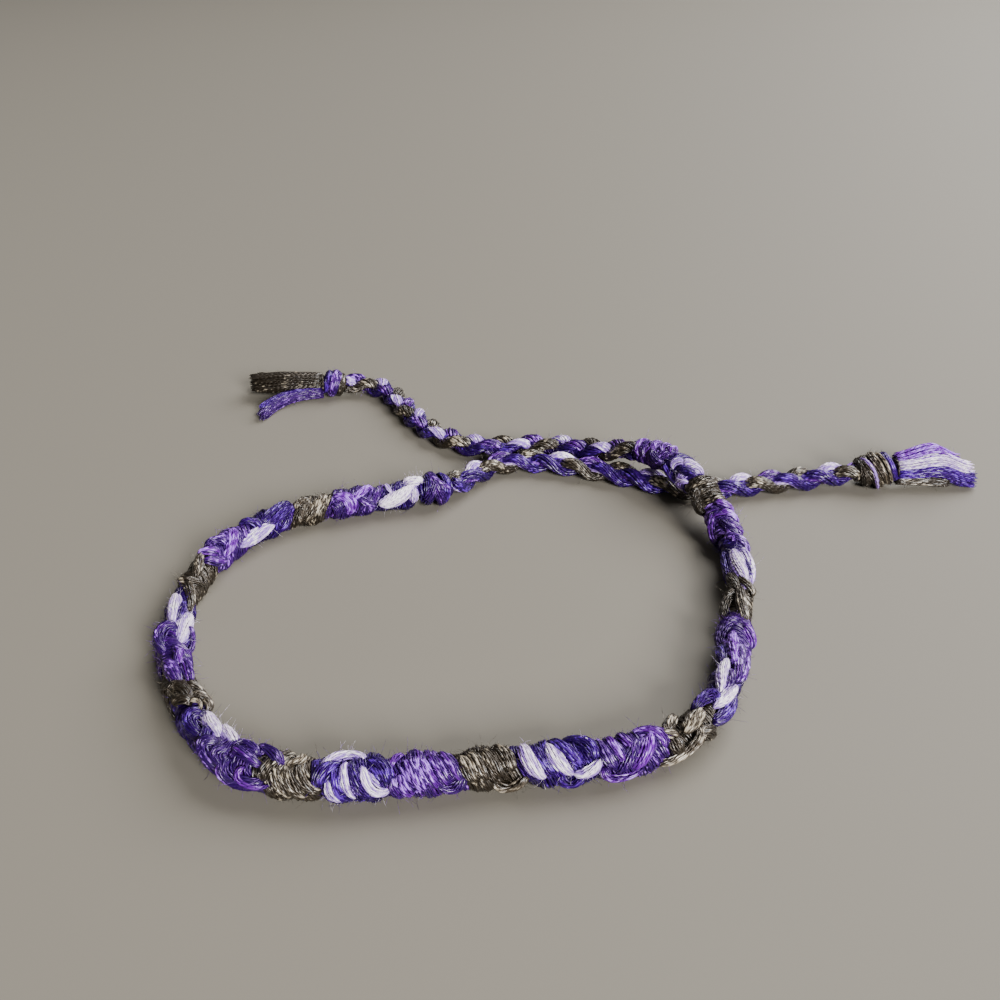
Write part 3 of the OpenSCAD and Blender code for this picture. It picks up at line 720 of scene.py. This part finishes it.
def along(route, distances):
    """Points of a smooth curve through a route, at distances along the route."""
    route = np.array(route)
    before, after = 2 * route[0] - route[1], 2 * route[-1] - route[-2]
    reach = np.concatenate([[0], np.cumsum(np.linalg.norm(np.diff(route, axis=0), axis=1))])
    at = (np.searchsorted(reach, distances, side="left") - 1).clip(0, len(route) - 2)
    u = ((distances - reach[at]) / (reach[at + 1] - reach[at]))[:, None]
    padded = np.vstack([before, route, after])
    a, b, c, d = padded[at], padded[at + 1], padded[at + 2], padded[at + 3]
    return b + 0.5 * u * (c - a + u * (2 * a - 5 * b + 4 * c - d + u * (3 * (b - c) + d - a)))


def tie_length(route):
    return float(np.linalg.norm(np.diff(np.array(route), axis=0), axis=1).sum())


def tie_heading(route, distances):
    v = along(route, distances + 0.2) - along(route, distances - 0.2)
    return np.degrees(np.arctan2(v[:, 1], v[:, 0]))


def plait_strand(seed, route, number, colours, turns):
    """One pair of flosses in a plait, whose plies turn round each other so often in each pitch."""
    floss = Floss(seed)
    chance = floss.chance
    length = tie_length(route)
    d = np.linspace(0, length, 3 * round(length))
    phase = np.radians(360 * d / PLAIT_PITCH + 120 * number)
    heading = np.radians(tie_heading(route, d))
    side = np.stack([-np.sin(heading), np.cos(heading), 0 * heading], -1)
    middle = along(route, d) + side * (PLAIT_SWING * np.sin(phase))[:, None]
    middle[:, 2] += PLAIT_LIFT * np.sin(2 * phase)
    ahead = np.gradient(middle, axis=0)
    ahead /= np.linalg.norm(ahead, axis=1, keepdims=True)
    across = np.cross((0, 0, 1), ahead)
    across /= np.linalg.norm(across, axis=1, keepdims=True)
    up = np.cross(ahead, across)
    for k, finish in enumerate(colours):
        turn = (np.radians(360 * k / len(colours) + chance.uniform(-8, 8))
                + turns * (phase - np.pi / 4))
        out = (across * (STRAND_HALF_W * np.cos(turn))[:, None]
               + up * (STRAND_HALF_T * np.sin(turn))[:, None])
        path = middle + out * (1 + 0.06 * np.sin(d * 1.7 + chance.uniform(0, 6)))[:, None]
        path[:, 2] = np.maximum(path[:, 2], PLAIT_FLOOR)
        # painted light and shade: each ply is lighter where its strand rises over the others and darker
        # where it dips, and the whole tie is painted darker as shade
        floss.lay(path[None], (out / np.linalg.norm(out, axis=1, keepdims=True))[None], finish,
                  PLAIT_PLY, 0.15, tone=(0.20 if finish == "w" else 0.24) + 0.26 * np.sin(2 * phase))
    # the inside of the strand, and once in each tie that of the whole plait, painted at their darkest as
    # shade
    floss.lay(middle[None], up[None], colours[0], 0.42, 0.58, tone=0.0, spread=0, fuzzy=False)
    if number == 0:
        floss.lay(along(route, d)[None], up[None], "d", 0.75, 0.85, sides=8, tone=0.0, spread=0,
                  fuzzy=False)
    floss.fuzz(0.08)
    return floss


for tie, (side_name, route, turns) in enumerate([["right", RIGHT_TIE, 1], ["left", LEFT_TIE, 2]]):
    for number, (colour, plies) in enumerate(STRANDS):
        strand = plait_strand(50 + 3 * tie + number, route, number, plies, turns)
        strand.piece(f"{side_name}_tie_{colour}", colour)


# End knots
# Each plait is stopped by an overhand knot in all its flosses, pulled tight. The right one is brown,
# with a dark violet wrap and a thin white one. The left one is purple between brown and violet.
def end_of(route):
    length = tie_length(route)
    return [route[-1][0], route[-1][1], float(tie_heading(route, np.array([length]))[0])]


RIGHT_KNOT_L, RIGHT_KNOT_D = 4.6, 4.6
LEFT_KNOT_L, LEFT_KNOT_D = 3.0, 4.1
right_at = further(end_of(RIGHT_TIE), BLOCK_GAP)
left_at = further(end_of(LEFT_TIE), BLOCK_GAP)
right_knot = knot_of_floss(
    60, right_at, RIGHT_KNOT_L, RIGHT_KNOT_D, 0,
    [["b-", 0.12, 1.2, -0.6, 0], ["b", 0.36, 1.3, -1.3, 20], ["b", 0.62, 1.3, -1.4, 0],
     ["d", 0.88, 1.3, -0.9, 20]],
    [["w-", 0.00, 70, 0.62, 262, 0.6], ["b+", 0.42, 75, 0.86, 215, 0.5],
     ["b+", 0.28, 80, 0.66, 200, 0.4]])
right_knot.piece("right_end_knot", "brown")
left_knot = knot_of_floss(
    61, left_at, LEFT_KNOT_L, LEFT_KNOT_D, 0,
    [["b-", 0.12, 1.0, -0.4, 200], ["p-", 0.5, 1.4, -0.7, 200], ["d", 0.86, 1.0, -0.5, 200]],
    [["p", 0.22, 110, 0.66, -20, 0.8]])
left_knot.piece("left_end_knot", "purple")


# Tassels
# Past each end knot the flosses are cut off and left loose. Their plies have come apart and lie on
# the table in soft locks of one colour each.
RIGHT_TASSEL_L, LEFT_TASSEL_L = 9.4, 10.0
LOCK_PLIES = 96        # loose threads in a lock
TASSEL_PLY = 0.10      # half thickness of one
# floss and its painted light or shade, splay, half width, half thickness, share of the length, height
# half way and at the end, and where it leaves the knot: to the left and up
RIGHT_LOCKS = [["p^", 10, 1.30, 1.15, 0.86, 3.8, 2.1, 0.5, 0.8],
               ["w+", 2, 1.20, 1.15, 0.98, 3.1, 1.6, -0.1, 0.5],
               ["d+", -5, 1.10, 1.00, 1.00, 2.2, 0.9, -0.6, -0.2],
               ["b-", -10, 0.90, 0.70, 0.66, 1.0, 0.8, -0.7, -1.0]]
LEFT_LOCKS = [["b=", -20, 1.40, 1.20, 1.00, 1.6, 1.4, -0.6, -0.3],
              ["b=", -6, 1.40, 1.35, 0.98, 2.3, 2.0, 0.0, 0.5],
              ["p-", 40, 0.75, 0.70, 1.05, 0.9, 0.7, 0.9, -1.1],
              ["d", 33, 0.75, 0.70, 0.96, 1.0, 0.8, 0.6, -0.9]]


def tassel_of_floss(seed, start, length, thick, locks):
    """Locks of loose plies that leave a knot together and splay."""
    floss = Floss(seed)
    chance = floss.chance
    held = thick / 2 * (1 - KNOT_SINK)
    u = np.linspace(0, 1, 14)
    for finish, splay, half_w, half_t, share, mid, end, aside, above in locks:
        ring = np.sqrt(chance.uniform(0.2, 1, LOCK_PLIES))
        turn = chance.uniform(0, 2 * np.pi, LOCK_PLIES)
        wander = chance.normal(0, 0.10, (2, LOCK_PLIES, 1)) * u ** 2
        a = (ring * np.cos(turn))[:, None] + wander[0]
        b = (ring * np.sin(turn))[:, None] + wander[1]
        full = 0.80 + 0.20 * np.sin(np.radians(160 * u))
        way = start[2] + splay * u
        reach = (length * share * (1 + chance.uniform(-0.05, 0.03, (LOCK_PLIES, 1)))) * u
        falls = np.where(u < 0.5, held + above + (mid - held - above) * ease((2 * u).clip(0, 1)),
                         mid + (end - mid) * ease((2 * u - 1).clip(0, 1)))
        height = np.maximum(half_t * full, falls)
        heading = np.radians(way)
        off = half_w * full * a + aside * (1 - u)
        x = start[0] + np.cos(heading) * reach - np.sin(heading) * off
        y = start[1] + np.sin(heading) * reach + np.cos(heading) * off
        z = np.maximum(height + half_t * full * b, TASSEL_PLY + 0.03)
        paths = np.stack([x, y, z], -1)
        out = np.stack([-np.sin(heading) * a, np.cos(heading) * a, b], -1)
        out /= np.linalg.norm(out, axis=2, keepdims=True)
        # painted light and shade: each lock has its level, as given in its row
        floss.lay(paths, out, finish[0], TASSEL_PLY, sides=4, tone=PAINTED_LIGHT_LEVELS[finish[1:]] + 0.02)
        # the lock's inside, painted dark as shade
        core = paths.mean(axis=0)
        floss.lay(core[None, :-1], (0, 0, 1), finish[0], 0.6 * half_t, 0.6 * half_w, sides=8, tone=0.1,
                  spread=0, fuzzy=False)
    floss.fuzz(0.06)
    return floss


right_tassel = tassel_of_floss(70, further(right_at, RIGHT_KNOT_L), RIGHT_TASSEL_L, RIGHT_KNOT_D,
                               RIGHT_LOCKS)
right_tassel.piece("right_tassel", "purple")
left_tassel = tassel_of_floss(71, further(left_at, LEFT_KNOT_L), LEFT_TASSEL_L, LEFT_KNOT_D,
                              LEFT_LOCKS)
left_tassel.piece("left_tassel", "brown")


# Table and light
# A plain pale table. A wide window stands behind it to the right, a smaller light in front on the
# same side, and a little light comes from everywhere.
bpy.ops.mesh.primitive_plane_add(size=3, location=(0, 0, 0))
table = bpy.context.object
table.name = "table"
table_finish = bpy.data.materials.new("pale_table")
table_finish.use_nodes = True
table_shader = table_finish.node_tree.nodes["Principled BSDF"]
table_shader.inputs["Base Color"].default_value = (0.156, 0.140, 0.112, 1)
table_shader.inputs["Roughness"].default_value = 0.7
table.data.materials.append(table_finish)

# name, place in metres, width in metres, power in watts; both look at the middle of the loop
for name, place, size, power in [["window", (0.84, 0.72, 1.04), 1.40, 51],
                                 ["room", (0.56, -0.95, 0.52), 0.40, 36]]:
    bpy.ops.object.light_add(type="AREA", location=place)
    lamp = bpy.context.object
    lamp.name = name
    lamp.data.size = size
    lamp.data.energy = power
    x, y, z = place
    lamp.rotation_euler = (np.arccos(z / np.linalg.norm(place)), 0, np.arctan2(-y, -x) - np.pi / 2)
world = bpy.data.worlds.new("soft_room")
bpy.context.scene.world = world
world.use_nodes = True
everywhere = world.node_tree.nodes["Background"]
everywhere.inputs["Color"].default_value = (1.0, 0.98, 0.95, 1)
everywhere.inputs["Strength"].default_value = 0.135
